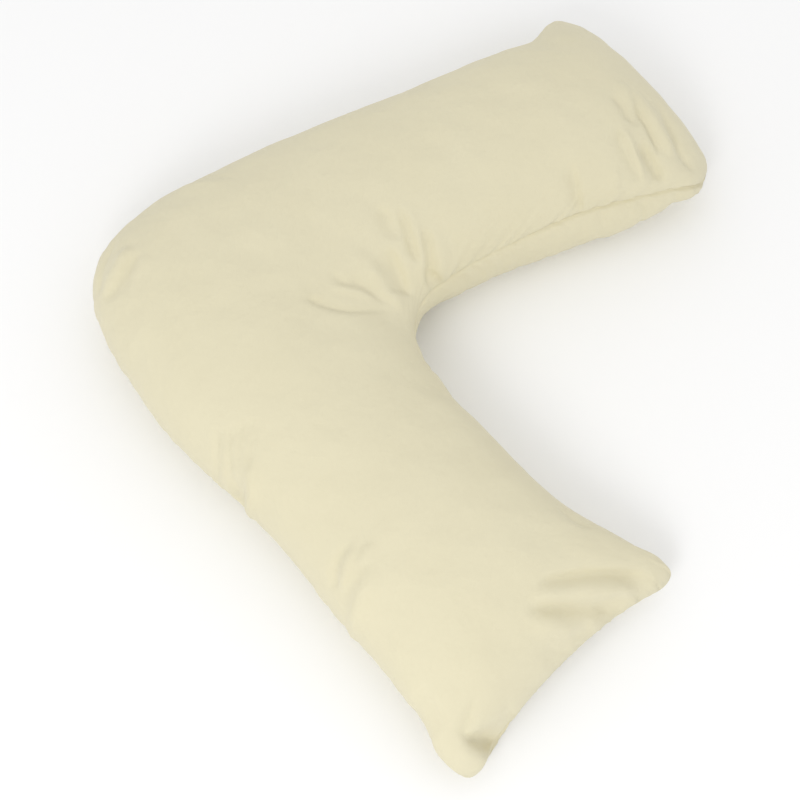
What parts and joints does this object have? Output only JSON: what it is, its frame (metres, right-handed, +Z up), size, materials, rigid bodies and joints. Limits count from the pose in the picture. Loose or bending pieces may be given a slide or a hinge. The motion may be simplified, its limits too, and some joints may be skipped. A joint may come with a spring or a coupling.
{
  "type": "v-shaped pillow",
  "caption": "V-shaped bed pillow in plain cream cloth, a filled cushion whose two arms meet at a rounded turn, to support a back, neck or arm.",
  "frame": {"origin": "middle of the pillow's box, on the surface it lies on", "axes": "+Z up, out of the front panel; +X along the middle line of the V, from the turn to the open side; +Y towards the far arm"},
  "size_m": [0.7566, 1.0522, 0.1681],
  "materials": {
    "cream_polycotton": "matt plain weave"
  },
  "bodies": {
    "root": {"pillow": "cream_polycotton"}
  },
  "joints": []
}
